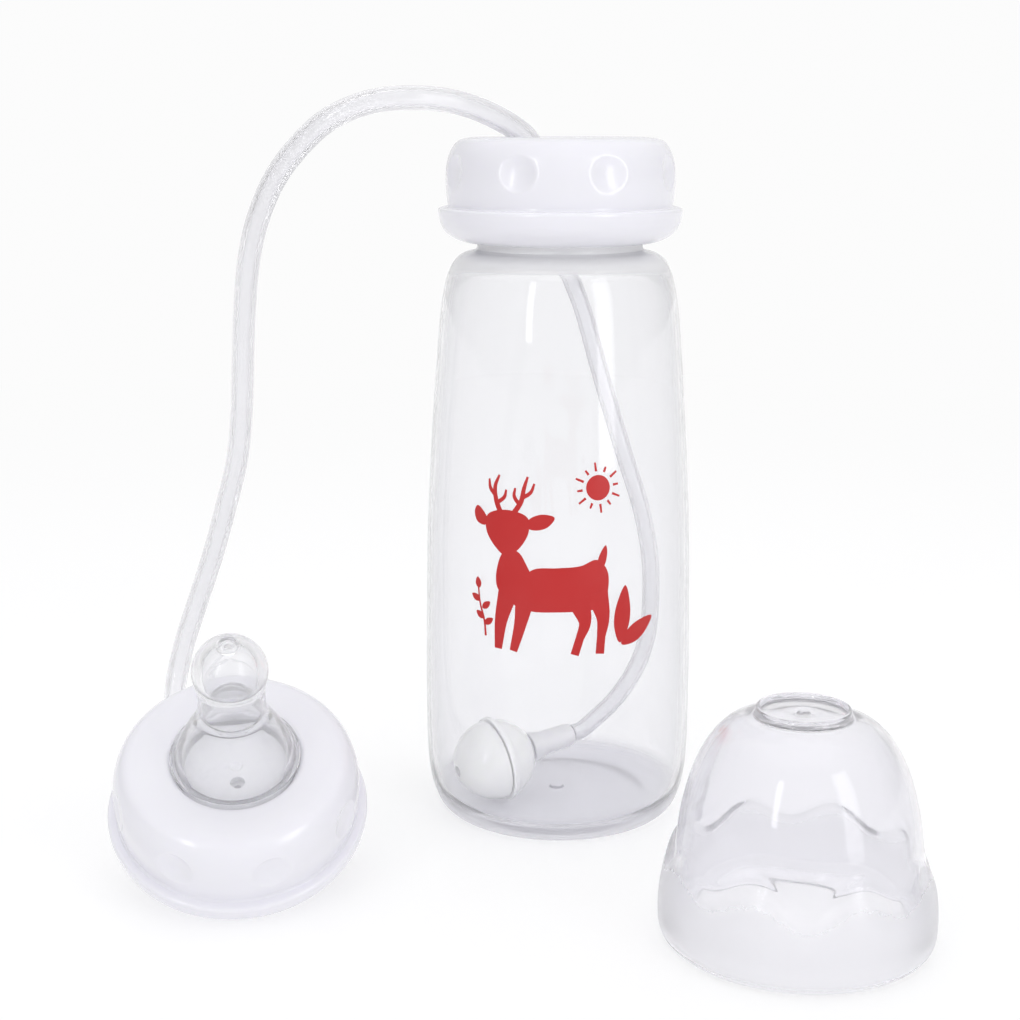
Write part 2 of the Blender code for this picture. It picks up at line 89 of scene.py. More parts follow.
def rounded(points, radii):
    """An outline whose corners are rounded by the given radii, 5 points on each."""
    out = []
    n = len(points)
    for i, (p, r) in enumerate(zip(points, radii)):
        if r <= 0:
            out.append(tuple(p))
            continue
        a, b, c = Vector(points[i - 1]), Vector(p), Vector(points[(i + 1) % n])
        d1, d2 = (a - b), (c - b)
        r1 = min(r, d1.length * 0.48, d2.length * 0.48)
        s, e = b + d1.normalized() * r1, b + d2.normalized() * r1
        for k in range(6):
            t = k / 5
            q = s * (1 - t) ** 2 + b * 2 * t * (1 - t) + e * t * t
            out.append((q.x, q.y))
    return out


def lathe(profile, segments=128, move=None):
    """A closed turned solid about Z from a closed loop of (radius, height), in mm. move(x, y, z, r, angle, k) may
    give a vertex another place."""
    bm = bmesh.new()
    rings = []
    for k, (r, z) in enumerate(profile):
        if r < 1e-5:
            rings.append([bm.verts.new((0, 0, z * MM))])
            continue
        ring = []
        for i in range(segments):
            a = 2 * math.pi * i / segments
            rr, zz = (move(r, z, a, k) if move else (r, z))
            ring.append(bm.verts.new((rr * MM * math.cos(a), rr * MM * math.sin(a), zz * MM)))
        rings.append(ring)
    for k in range(len(rings)):
        a, b = rings[k], rings[(k + 1) % len(rings)]
        if len(a) == 1 and len(b) == 1:
            continue
        for i in range(segments):
            j = (i + 1) % segments
            if len(a) == 1:
                bm.faces.new((a[0], b[j], b[i]))
            elif len(b) == 1:
                bm.faces.new((a[i], a[j], b[0]))
            else:
                bm.faces.new((a[i], a[j], b[j], b[i]))
    return bm


def to_object(name, bm, mat, matrix=None, sharp=32):
    bmesh.ops.recalc_face_normals(bm, faces=bm.faces)
    mesh = bpy.data.meshes.new(name)
    bm.to_mesh(mesh)
    bm.free()
    if matrix:
        mesh.transform(matrix)
    mesh.shade_smooth()
    mesh.set_sharp_from_angle(angle=math.radians(sharp))
    obj = bpy.data.objects.new(name, mesh)
    scene.collection.objects.link(obj)
    obj.data.materials.append(mat)
    return obj


def place(obj, body, *nodes, slot=None):
    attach(obj, body)
    if nodes:
        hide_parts(*nodes)
    return obj


def thread_ridge(root_r, crest_r, z_start, turns, root_half, crest_half, phase=0.0, steps_turn=72, pitch=3.6):
    bm = bmesh.new()
    steps = int(turns * steps_turn)
    rings = []
    for k in range(steps + 1):
        part = k / steps
        a = phase + 2 * math.pi * turns * part
        z = z_start + pitch * turns * part
        fade = min(1.0, 0.12 + 8 * min(part, 1 - part))
        crest = root_r + (crest_r - root_r) * fade
        rings.append([bm.verts.new((r * MM * math.cos(a), r * MM * math.sin(a), (z + dz) * MM))
                      for r, dz in ((root_r, -root_half), (crest, -crest_half), (crest, crest_half), (root_r, root_half))])
    for a, b in zip(rings, rings[1:]):
        for i in range(4):
            j = (i + 1) % 4
            bm.faces.new((a[i], a[j], b[j], b[i]))
    bm.faces.new(rings[0][::-1])
    bm.faces.new(rings[-1])
    return bm


def join_by_boolean(obj, bm, matrix=None, operation="UNION"):
    other = to_object(obj.name + "_tool", bm, obj.data.materials[0], matrix)
    mod = obj.modifiers.new("join", "BOOLEAN")
    mod.object = other
    mod.operation = operation
    mod.solver = "EXACT"
    graph = bpy.context.evaluated_depsgraph_get()
    mesh = bpy.data.meshes.new_from_object(obj.evaluated_get(graph))
    obj.modifiers.clear()
    old = obj.data
    obj.data = mesh
    bpy.data.objects.remove(other, do_unlink=True)
    bpy.data.meshes.remove(old)
    obj.data.shade_smooth()
    obj.data.set_sharp_from_angle(angle=math.radians(32))
    return obj


def sweep(points, r_out, r_in, sides=28):
    """A hollow tube along points (mm), closed at both ends by rings."""
    pts = [Vector(p) for p in points]
    bm = bmesh.new()
    tangents = []
    for i in range(len(pts)):
        a, b = pts[max(0, i - 1)], pts[min(len(pts) - 1, i + 1)]
        tangents.append((b - a).normalized())
    side = tangents[0].orthogonal().normalized()
    outer, inner = [], []
    for i, (p, t) in enumerate(zip(pts, tangents)):
        side = (side - t * side.dot(t)).normalized()
        up = t.cross(side)
        for rings, r in ((outer, r_out), (inner, r_in)):
            rings.append([bm.verts.new((p + (side * math.cos(2 * math.pi * k / sides) + up * math.sin(2 * math.pi * k / sides)) * r) * MM) for k in range(sides)])
    for rings in (outer, inner):
        for a, b in zip(rings, rings[1:]):
            for k in range(sides):
                j = (k + 1) % sides
                bm.faces.new((a[k], a[j], b[j], b[k]))
    for end in (0, -1):
        a, b = outer[end], inner[end]
        for k in range(sides):
            j = (k + 1) % sides
            bm.faces.new((a[k], a[j], b[j], b[k]))
    return bm


def even(points, step):
    lengths = [0.0]
    for a, b in zip(points, points[1:]):
        lengths.append(lengths[-1] + (b - a).length)
    count = max(2, round(lengths[-1] / step))
    out, k = [], 0
    for i in range(count + 1):
        want = lengths[-1] * i / count
        while k < len(lengths) - 2 and lengths[k + 1] < want:
            k += 1
        span = lengths[k + 1] - lengths[k]
        out.append(points[k].lerp(points[k + 1], (want - lengths[k]) / span if span else 0.0))
    return out, lengths[-1]


AT_BOTTLE = Matrix.Translation((BX * MM, BY * MM, 0))


# ------------------------------------------------------------------ materials
def nodes_of(mat):
    mat.use_nodes = True
    tree = mat.node_tree
    return tree, tree.nodes["Principled BSDF"], tree.nodes["Material Output"]


def noise(tree, scale, detail=3.0, rough=0.5):
    coords = tree.nodes.new("ShaderNodeTexCoord")
    tex = tree.nodes.new("ShaderNodeTexNoise")
    tex.inputs["Scale"].default_value = scale
    tex.inputs["Detail"].default_value = detail
    tex.inputs["Roughness"].default_value = rough
    tree.links.new(coords.outputs["Object"], tex.inputs["Vector"])
    return tex.outputs["Fac"]


def ramp(tree, source, low, high):
    m = tree.nodes.new("ShaderNodeMapRange")
    m.inputs["From Min"].default_value = 0.3
    m.inputs["From Max"].default_value = 0.7
    m.inputs["To Min"].default_value = low
    m.inputs["To Max"].default_value = high
    tree.links.new(source, m.inputs["Value"])
    return m.outputs["Result"]


def bump(tree, shader, source, strength, distance):
    b = tree.nodes.new("ShaderNodeBump")
    b.inputs["Strength"].default_value = strength
    b.inputs["Distance"].default_value = distance
    tree.links.new(source, b.inputs["Height"])
    tree.links.new(b.outputs["Normal"], shader.inputs["Normal"])


def lamps_through(tree, shader, out, tint, amount):
    """The shell is lit through: shadow rays pass a tinted transparent shader."""
    clear = tree.nodes.new("ShaderNodeBsdfTransparent")
    clear.inputs["Color"].default_value = (*tint, 1)
    path = tree.nodes.new("ShaderNodeLightPath")
    mul = tree.nodes.new("ShaderNodeMath")
    mul.operation = "MULTIPLY"
    mul.inputs[1].default_value = amount
    mix = tree.nodes.new("ShaderNodeMixShader")
    tree.links.new(path.outputs["Is Shadow Ray"], mul.inputs[0])
    tree.links.new(mul.outputs[0], mix.inputs["Fac"])
    tree.links.new(shader.outputs["BSDF"], mix.inputs[1])
    tree.links.new(clear.outputs["BSDF"], mix.inputs[2])
    tree.links.new(mix.outputs["Shader"], out.inputs["Surface"])


def clear_plastic(name, colour, rough, ior=1.45, ripple=0.06, shadow=0.86, frost=None, milk=0.0, fine_scale=420, edge=None, power=2.5, lamp=(0.95, 0.95, 0.96), skirt=None, edge_milk=0.0, foot=None):
    """edge: the tint where the wall is seen edge-on, so that a ray has a longer way through it; edge_milk: how much it
    scatters there. foot: the tint of the thick floor."""
    mat = bpy.data.materials.new(name)
    tree, shader, out = nodes_of(mat)
    shader.inputs["Base Color"].default_value = (*colour, 1)
    if edge:
        facing = tree.nodes.new("ShaderNodeLayerWeight")
        facing.inputs["Blend"].default_value = 0.5
        steep = tree.nodes.new("ShaderNodeMath")
        steep.operation = "POWER"
        steep.inputs[1].default_value = power
        tree.links.new(facing.outputs["Facing"], steep.inputs[0])
        tint = tree.nodes.new("ShaderNodeMix")
        tint.data_type = "RGBA"
        tint.inputs[6].default_value = (*colour, 1)
        tint.inputs[7].default_value = (*edge, 1)
        tree.links.new(steep.outputs[0], tint.inputs[0])
        tree.links.new(tint.outputs[2], shader.inputs["Base Color"])
        veil = tree.nodes.new("ShaderNodeMapRange")
        veil.inputs["To Min"].default_value = 1.0 - milk
        veil.inputs["To Max"].default_value = 1.0 - milk - edge_milk
        tree.links.new(steep.outputs[0], veil.inputs["Value"])
        tree.links.new(veil.outputs["Result"], shader.inputs["Transmission Weight"])
    if foot:
        place_of = tree.nodes.new("ShaderNodeTexCoord")
        split = tree.nodes.new("ShaderNodeSeparateXYZ")
        tree.links.new(place_of.outputs["Object"], split.inputs[0])
        height = tree.nodes.new("ShaderNodeMapRange")
        height.interpolation_type = "SMOOTHSTEP"
        height.inputs["From Min"].default_value = 0.0035
        height.inputs["From Max"].default_value = 0.0075
        tree.links.new(split.outputs["Z"], height.inputs["Value"])
        base = tree.nodes.new("ShaderNodeMix")
        base.data_type = "RGBA"
        base.inputs[6].default_value = (*foot, 1)
        tree.links.new(height.outputs["Result"], base.inputs[0])
        tree.links.new(tint.outputs[2], base.inputs[7])
        tree.links.new(base.outputs[2], shader.inputs["Base Color"])
        thick = tree.nodes.new("ShaderNodeMapRange")
        thick.inputs["To Min"].default_value = 0.68
        tree.links.new(height.outputs["Result"], thick.inputs["Value"])
        upper = tree.nodes.new("ShaderNodeMapRange")
        upper.interpolation_type = "SMOOTHSTEP"
        upper.inputs["From Min"].default_value = 0.1225
        upper.inputs["From Max"].default_value = 0.1265
        upper.inputs["To Min"].default_value = 1.0
        upper.inputs["To Max"].default_value = 0.55
        tree.links.new(split.outputs["Z"], upper.inputs["Value"])
        first = tree.nodes.new("ShaderNodeMath")
        first.operation = "MULTIPLY"
        tree.links.new(thick.outputs["Result"], first.inputs[0])
        tree.links.new(upper.outputs["Result"], first.inputs[1])
        second = tree.nodes.new("ShaderNodeMath")
        second.operation = "MULTIPLY"
        tree.links.new(first.outputs[0], second.inputs[0])
        tree.links.new(veil.outputs["Result"], second.inputs[1])
        tree.links.new(second.outputs[0], shader.inputs["Transmission Weight"])
    shader.inputs["IOR"].default_value = ior
    low = noise(tree, 55, 2.0)
    fine = ramp(tree, noise(tree, fine_scale, 4.0, 0.6), rough * 0.75, rough * 1.35)
    if frost:
        attr = tree.nodes.new("ShaderNodeAttribute")
        attr.attribute_name = "frost"
        mix = tree.nodes.new("ShaderNodeMix")
        mix.data_type = "FLOAT"
        tree.links.new(attr.outputs["Fac"], mix.inputs[0])
        tree.links.new(fine, mix.inputs[2])
        tree.links.new(ramp(tree, noise(tree, 900, 3.0), frost * 0.9, frost * 1.1), mix.inputs[3])
        fine = mix.outputs[0]
        clearer = tree.nodes.new("ShaderNodeMapRange")
        clearer.inputs["To Min"].default_value = 1.0
        clearer.inputs["To Max"].default_value = 0.84
        tree.links.new(attr.outputs["Fac"], clearer.inputs["Value"])
        both = tree.nodes.new("ShaderNodeMath")
        both.operation = "MULTIPLY"
        tree.links.new(clearer.outputs["Result"], both.inputs[0])
        tree.links.new(veil.outputs["Result"], both.inputs[1])
        tree.links.new(both.outputs[0], shader.inputs["Transmission Weight"])
        dull = tree.nodes.new("ShaderNodeMix")
        dull.data_type = "RGBA"
        tree.links.new(attr.outputs["Fac"], dull.inputs[0])
        tree.links.new(tint.outputs[2], dull.inputs[6])
        dull.inputs[7].default_value = (*skirt, 1)
        tree.links.new(dull.outputs[2], shader.inputs["Base Color"])
    tree.links.new(fine, shader.inputs["Roughness"])
    if ripple:
        bump(tree, shader, low, ripple, 0.0006)
    lamps_through(tree, shader, out, lamp, shadow)
    return mat


def solid_plastic(name, colour, rough, sss=0.0, ripple=0.05, coat=0.0, grain=500, spread=0.02, transmission=0.0, shadow=0.0):
    mat = bpy.data.materials.new(name)
    tree, shader, out = nodes_of(mat)
    fac = noise(tree, 70, 3.0)
    mix = tree.nodes.new("ShaderNodeMix")
    mix.data_type = "RGBA"
    mix.inputs[6].default_value = (*[max(0, c - spread) for c in colour], 1)
    mix.inputs[7].default_value = (*[min(1, c + spread) for c in colour], 1)
    tree.links.new(fac, mix.inputs[0])
    tree.links.new(mix.outputs[2], shader.inputs["Base Color"])
    tree.links.new(ramp(tree, noise(tree, grain, 4.0), rough * 0.85, rough * 1.2), shader.inputs["Roughness"])
    shader.inputs["IOR"].default_value = 1.49
    shader.inputs["Coat Weight"].default_value = coat
    shader.inputs["Coat Roughness"].default_value = 0.12
    shader.inputs["Transmission Weight"].default_value = transmission
    if sss:
        shader.inputs["Subsurface Weight"].default_value = sss
        shader.inputs["Subsurface Radius"].default_value = (0.9, 0.85, 1.0)
        shader.inputs["Subsurface Scale"].default_value = 0.002
    if ripple:
        bump(tree, shader, noise(tree, 120, 2.0), ripple, 0.0004)
    if shadow:
        lamps_through(tree, shader, out, (0.95, 0.95, 0.96), shadow)
    return mat


M_BOTTLE = clear_plastic("clear_bottle_pp", (0.95, 0.95, 0.962), 0.035, ior=1.36, shadow=1.0, milk=0.03, edge=(0.80, 0.80, 0.825), power=2.2, edge_milk=0.6, lamp=(0.99, 0.99, 0.995), foot=(0.84, 0.835, 0.875))
M_CAP = clear_plastic("cap_pp_frosted_skirt", (0.93, 0.927, 0.95), 0.05, ior=1.33, frost=0.34, shadow=0.9, milk=0.06, edge=(0.84, 0.83, 0.87), edge_milk=0.55, skirt=(0.87, 0.866, 0.895))
M_COLLAR = solid_plastic("white_collar_pp", (0.79, 0.785, 0.835), 0.2, sss=0.25, ripple=0.07, coat=0.4, grain=420, shadow=0.8)
M_INSERT = solid_plastic("insert_pp", (0.84, 0.84, 0.87), 0.3, sss=0.2, ripple=0.05, shadow=0.8)
M_SEAL = solid_plastic("soft_seal_silicone", (0.85, 0.85, 0.87), 0.45, sss=0.3, ripple=0.04)
M_HOSE = clear_plastic("hose_silicone", (0.962, 0.96, 0.975), 0.1, ior=1.38, ripple=0.0, shadow=0.9, milk=0.22, fine_scale=60, edge=(0.82, 0.81, 0.85), power=2.5, edge_milk=0.4)
M_STRAW = clear_plastic("straw_silicone", (0.962, 0.96, 0.975), 0.1, ior=1.38, ripple=0.0, shadow=0.9, milk=0.22, fine_scale=60, edge=(0.82, 0.81, 0.85), power=2.5, edge_milk=0.4)
M_NIPPLE = clear_plastic("nipple_silicone", (0.955, 0.955, 0.968), 0.07, ior=1.34, ripple=0.08, shadow=0.85, milk=0.10, edge=(0.87, 0.865, 0.89), edge_milk=0.5)
M_BALL = solid_plastic("weight_milky", (0.955, 0.955, 0.97), 0.2, sss=0.6, ripple=0.05, coat=0.3, shadow=0.4)
M_FERRULE = solid_plastic("ferrule_grey", (0.92, 0.915, 0.95), 0.32, sss=0.4, ripple=0.05, transmission=0.2, shadow=0.4)
M_PRINT = solid_plastic("red_print_ink", (0.50, 0.012, 0.012), 0.36, ripple=0.0, grain=200, spread=0.012)

M_STEEL = bpy.data.materials.new("weight_steel")
_tree, _shader, _out = nodes_of(M_STEEL)
_shader.inputs["Metallic"].default_value = 1.0
_shader.inputs["Base Color"].default_value = (0.62, 0.62, 0.64, 1)
_tree.links.new(ramp(_tree, noise(_tree, 300, 5.0), 0.22, 0.4), _shader.inputs["Roughness"])
bump(_tree, _shader, noise(_tree, 600, 3.0), 0.1, 0.0002)

# ------------------------------------------------------------------ bottle
BODY_OUT = [(24.0, 0.0), (25.4, 0.45), (27.3, 2.1), (28.7, 5.2), (29.6, 9.4), (30.05, 15.0), (30.2, 24.0), (30.2, 36.0), (30.0, 48.0),
            (29.8, 60.0), (29.35, 72.0), (28.75, 83.0), (27.95, 95.0), (27.1, 106.0), (26.5, 113.0), (25.75, 118.6), (24.6, 123.2), (23.1, 126.0),
            (21.2, 127.5), (19.2, 128.1)]
BODY_IN = [(17.0, 126.7), (20.2, 126.1), (22.0, 124.7), (23.3, 122.2), (24.35, 118.2), (25.1, 112.8), (25.7, 106.0), (26.55, 95.0), (27.35, 83.0),
           (27.95, 72.0), (28.4, 60.0), (28.6, 48.0), (28.8, 36.0), (28.8, 24.0), (28.6, 15.0), (28.1, 10.0), (27.1, 6.3), (25.6, 4.2), (23.4, 3.4)]
out_curve = sm(BODY_OUT, 6)
body = [(0, 0.9), (4.0, 0.9), (12.0, 0.85), (18.2, 0.75), (19.4, 0.6), (20.2, 0.25), (21.0, 0.03), (22.4, 0.0)] + out_curve
body += [(18.4, 128.4), (18.15, 129.0), (18.15, 129.9), (17.9, 130.4), (17.2, 130.7), (17.0, 131.0), (17.0, 147.3), (16.7, 147.8), (16.2, 148.0), (15.9, 147.95), (15.55, 147.6), (15.5, 147.0), (15.5, 128.2), (15.8, 127.2)]
body += sm(BODY_IN, 6)
body += [(16.0, 3.25), (6.0, 3.3), (1.8, 3.3), (1.4, 3.75), (0, 3.8)]
bottle = to_object("bottle_shell", lathe(body, 160), M_BOTTLE, AT_BOTTLE, 28)
join_by_boolean(bottle, thread_ridge(16.7, 18.2, 133.4, 1.5, 0.75, 0.4), AT_BOTTLE)
place(bottle, "bottle", "bottle_body", slot="clear_bottle")


def body_r(z):
    for (r0, z0), (r1, z1) in zip(out_curve, out_curve[1:]):
        if z0 <= z <= z1:
            return r0 + (r1 - r0) * (z - z0) / max(1e-6, z1 - z0)
    return 30.0


# ------------------------------------------------------------------ the printed motif: plain shapes of our own, on the front
def decal(name, outline, lift=0.06, thick=0.05):
    """A thin closed film on the bottle's outside. outline is a closed loop of (arc length to the right of the front, height)."""
    bm = bmesh.new()
    face = bm.faces.new([bm.verts.new((s, z, 0)) for s, z in outline])
    bmesh.ops.triangulate(bm, faces=[face], quad_method="BEAUTY", ngon_method="EAR_CLIP")
    lo_s, hi_s = min(p[0] for p in outline), max(p[0] for p in outline)
    lo_z, hi_z = min(p[1] for p in outline), max(p[1] for p in outline)
    for axis, lo, hi, step in ((0, lo_s, hi_s, 1.1), (1, lo_z, hi_z, 2.5)):
        value = lo + step
        while value < hi:
            co = [0, 0, 0]
            no = [0, 0, 0]
            co[axis] = value
            no[axis] = 1
            bmesh.ops.bisect_plane(bm, geom=bm.verts[:] + bm.edges[:] + bm.faces[:], plane_co=co, plane_no=no, dist=1e-5)
            value += step
    bmesh.ops.recalc_face_normals(bm, faces=bm.faces)
    made = bmesh.ops.extrude_face_region(bm, geom=bm.faces[:])
    top = {v for v in made["geom"] if isinstance(v, bmesh.types.BMVert)}
    for v in bm.verts:
        s, z = v.co.x, v.co.y
        r = body_r(z) + lift + (thick if v in top else 0)
        a = s / 30.0 - math.pi / 2
        v.co = ((BX + r * math.cos(a)) * MM, (BY + r * math.sin(a)) * MM, z * MM)
    obj = to_object(name, bm, M_PRINT, None, 60)
    place(obj, "bottle")
    return obj


def blob(points, steps=6):
    return [(p.x, p.y) for p in catmull(points, steps, closed=True)]


def stroke(points, widths, steps=5):
    """A closed outline around a line whose width changes along it."""
    n = len(points)
    line = catmull(points, steps)
    left, right = [], []
    for i, p in enumerate(line):
        a, b = line[max(0, i - 1)], line[min(len(line) - 1, i + 1)]
        t = (b - a).normalized()
        u = i / (len(line) - 1) * (n - 1)
        k = min(int(u), n - 2)
        w = widths[k] + (widths[k + 1] - widths[k]) * (u - k)
        nrm = Vector((-t.y, t.x)) * w / 2
        left.append((p.x + nrm.x, p.y + nrm.y))
        right.append((p.x - nrm.x, p.y - nrm.y))
    return left + right[::-1]


motif = [
    ("print_deer_body", blob([(-9.2, 60.6), (-6.0, 63.2), (-1.0, 63.6), (4.0, 64.0), (7.6, 65.2), (9.9, 62.8), (10.1, 58.6), (8.8, 55.0), (4.0, 54.2), (-1.0, 54.0), (-6.4, 54.0), (-9.8, 54.8), (-11.4, 57.4)])),
    ("print_deer_neck", blob([(-12.6, 66.8), (-9.6, 66.8), (-7.4, 63.6), (-6.0, 60.0), (-8.0, 56.6), (-11.8, 56.4), (-14.2, 58.6), (-14.4, 62.6)])),
    ("print_deer_head", blob([(-16.9, 74.2), (-12.2, 75.6), (-7.5, 74.2), (-7.2, 71.2), (-9.2, 67.6), (-12.1, 65.6), (-15.0, 67.6), (-17.2, 71.0)])),
    ("print_deer_ear_left", blob([(-17.0, 73.4), (-19.6, 75.9), (-20.4, 74.6), (-19.6, 72.4), (-17.4, 71.9)])),
    ("print_deer_ear_right", blob([(-7.4, 73.6), (-4.6, 75.0), (-1.6, 74.4), (-3.0, 72.4), (-5.4, 71.6), (-7.2, 71.9)])),
    ("print_deer_antler_left", stroke([(-13.8, 75.0), (-14.9, 77.6), (-15.2, 80.4), (-14.2, 82.9)], [1.2, 1.1, 0.9, 0.5])),
    ("print_deer_antler_left_a", stroke([(-15.0, 78.4), (-16.4, 80.0), (-16.7, 81.9)], [0.9, 0.8, 0.45])),
    ("print_deer_antler_left_b", stroke([(-14.7, 76.9), (-12.9, 78.3), (-12.5, 79.9)], [0.9, 0.8, 0.45])),
    ("print_deer_antler_right", stroke([(-10.6, 75.0), (-9.0, 77.6), (-8.4, 80.4), (-7.6, 82.9)], [1.2, 1.1, 0.9, 0.5])),
    ("print_deer_antler_right_a", stroke([(-8.7, 78.4), (-6.9, 79.6), (-6.1, 81.5)], [0.9, 0.8, 0.45])),
    ("print_deer_antler_right_b", stroke([(-9.4, 76.9), (-10.6, 78.6), (-10.4, 80.4)], [0.9, 0.8, 0.45])),
    ("print_deer_leg_front", stroke([(-11.8, 57.5), (-13.3, 51.5), (-13.9, 45.2)], [4.4, 2.9, 1.7])),
    ("print_deer_leg_front_2", stroke([(-8.0, 56.0), (-8.9, 51.0), (-10.4, 45.0)], [4.0, 2.7, 1.7])),
    ("print_deer_leg_back", stroke([(3.8, 56.0), (5.0, 51.6), (3.9, 48.2), (2.8, 44.6)], [4.6, 2.6, 1.8, 1.8])),
    ("print_deer_leg_back_2", stroke([(7.6, 58.0), (9.0, 52.4), (8.6, 48.4), (8.3, 44.6)], [5.0, 2.9, 1.9, 1.9])),
    ("print_deer_tail", blob([(9.0, 63.6), (9.9, 66.4), (9.6, 68.2), (8.7, 67.2), (7.8, 64.6)])),
]
for i, (name, outline) in enumerate(motif):
    decal(name, outline, 0.05 + 0.006 * (i % 5))

SUN = (7.9, 80.6)
decal("print_sun_disc", blob([(SUN[0] + 2.7 * math.cos(2 * math.pi * k / 12), SUN[1] + 2.7 * math.sin(2 * math.pi * k / 12)) for k in range(12)]))
for k in range(12):
    a = 2 * math.pi * k / 12 + 0.13
    r0, r1 = 3.5, (5.4 if k % 2 else 4.7)
    decal(f"print_sun_ray_{k + 1}", stroke([(SUN[0] + r0 * math.cos(a), SUN[1] + r0 * math.sin(a)), (SUN[0] + r1 * math.cos(a), SUN[1] + r1 * math.sin(a))], [0.55, 0.42], 3))


def leaf(cx, cz, long, wide, turn):
    c, s = math.cos(turn), math.sin(turn)
    pts = [(0, 0), (long * 0.25, wide * 0.42), (long * 0.6, wide * 0.46), (long, 0), (long * 0.6, -wide * 0.46), (long * 0.25, -wide * 0.42)]
    return blob([(cx + x * c - y * s, cz + x * s + y * c) for x, y in pts])


decal("print_leaf_tall", leaf(12.9, 46.6, 12.6, 3.9, math.radians(84)))
decal("print_leaf_low", leaf(13.3, 46.2, 9.6, 3.8, math.radians(33)), 0.062)
decal("print_sprig_stem", stroke([(-17.0, 47.6), (-17.4, 51.0), (-18.5, 54.6), (-19.0, 58.2)], [0.5, 0.45, 0.4, 0.35]))
for i, (x, z, t) in enumerate(((-18.8, 57.9, 100), (-18.5, 55.2, 150), (-17.9, 53.6, 40), (-17.4, 51.4, 145), (-17.3, 50.2, 35))):
    decal(f"print_sprig_leaf_{i + 1}", leaf(x, z, 2.5, 1.5, math.radians(t)), 0.064)


# ------------------------------------------------------------------ collars
def collar_bm(phase):
    low, top = -7.5, 15.0
    f, w = 26.65, 25.0
    prof = [(19.2, low + 0.25), (19.45, low + 0.02)]
    prof += sm([(19.9, low), (21.4, low + 0.25), (22.9, low + 0.8), (24.4, low + 1.7), (25.5, low + 2.8), (26.15, low + 4.0), (26.5, low + 5.4), (f, low + 6.6)], 5)
    prof += [(f, -0.62), (f - 0.08, -0.3), (f - 0.28, -0.1), (f - 0.6, 0.0), (w + 0.2, 0.0), (w - 0.1, 0.05), (w - 0.32, 0.25), (w - 0.42, 0.6)]
    wall = [(w - 0.4, 0.9), (w - 0.16, 3.0), (w - 0.02, 5.4), (w - 0.06, 7.8), (w - 0.34, 9.7), (w - 0.85, 11.4), (w - 1.62, 12.9), (w - 2.5, 13.95), (w - 3.5, 14.5), (w - 5.2, 14.85), (w - 7.0, 14.97)]
    prof += sm(wall, 8)
    prof += [(16.6, top), (14.3, top - 0.02), (13.7, top - 0.12), (13.25, top - 0.38), (13.05, top - 0.7), (13.0, top - 1.0), (13.0, top - 1.38), (13.1, top - 1.5), (18.9, top - 1.5), (19.2, top - 1.8)]
    prof += [(19.2, 8.0), (19.2, 0.0)]

    def dimple(r, z, a, k):
        if r < 23.0 or not 0.5 < z < 14.5:
            return r, z
        step = 2 * math.pi / 8
        rel = (a + math.pi / 2 - step / 2) % step
        rel = rel if rel < step / 2 else rel - step
        across, up = r * math.sin(rel), z - 8.7
        ball, deep = 11.0, 1.25
        inside = ball * ball - across * across - up * up
        if inside <= 0:
            return r, z
        cut = r * math.cos(rel) - (25.0 - deep + ball - math.sqrt(inside))
        soft = 0.03
        push = soft * math.log1p(math.exp(max(-40.0, min(40.0, cut / soft))))
        return r - push, z

    return lathe(prof, 320, dimple)


def make_collar(name, matrix, body, node):
    obj = to_object(name, collar_bm(0.4), M_COLLAR, matrix, 34)
    join_by_boolean(obj, thread_ridge(19.45, 17.65, 133.4 - 137.4 + 1.75, 1.25, 0.65, 0.35, 0.4), matrix)
    return place(obj, body, node, slot="white_collar")


make_collar("bottle_collar_shell", AT_BOTTLE @ Matrix.Translation((0, 0, 137.4 * MM)), "lid_collar", "bottle_collar")

# ------------------------------------------------------------------ insert under the collar
NECK_TOP, DISH = 148.0, 143.4
DLOW = NECK_TOP + 1.4
disc = to_object("tube_disc_shell", lathe(rounded([
    (0, DISH), (12.2, DISH), (13.4, DISH + 1.0), (13.6, DLOW), (17.6, DLOW), (17.6, DLOW + 1.1), (12.3, DLOW + 1.1), (12.0, DLOW + 0.6), (11.9, DISH + 1.8), (11.3, DISH + 1.2), (0, DISH + 1.2)],
    [0, 0.5, 0.5, 0.2, 0.2, 0.2, 0.25, 0.2, 0.3, 0.3, 0]), 128), M_INSERT, AT_BOTTLE)
for x, r in ((-5.0, 2.9), (6.0, 2.1)):
    join_by_boolean(disc, lathe([(0, DISH - 3), (r, DISH - 3), (r, DISH + 5), (0, DISH + 5)], 48), AT_BOTTLE @ Matrix.Translation((x * MM, 0, 0)), "DIFFERENCE")
place(disc, "lid_insert", "tube_disc", slot="insert_white")
ring = to_object("disc_gasket_ring", lathe(rounded([(14.2, NECK_TOP + 0.3), (17.2, NECK_TOP + 0.3), (17.2, NECK_TOP + 1.1), (14.2, NECK_TOP + 1.1)], [0.25] * 4), 128), M_SEAL, AT_BOTTLE)
place(ring, "lid_insert", "disc_gasket", slot="soft_seal")
AT_PORT = AT_BOTTLE @ Matrix.Translation((-5 * MM, 0, 0))
conn = to_object("tube_connector_barb", lathe(rounded([
    (0.9, 140.9), (2.0, 140.9), (2.3, 142.0), (2.6, 142.5), (2.6, 144.9), (3.9, 144.9), (3.9, 145.6), (2.5, 146.0), (0.9, 146.0)], [0.1, 0.3, 0.1, 0.1, 0.1, 0.3, 0.3, 0.2, 0.1]), 64), M_INSERT, AT_PORT)
place(conn, "lid_insert", "tube_connector", slot="insert_white")
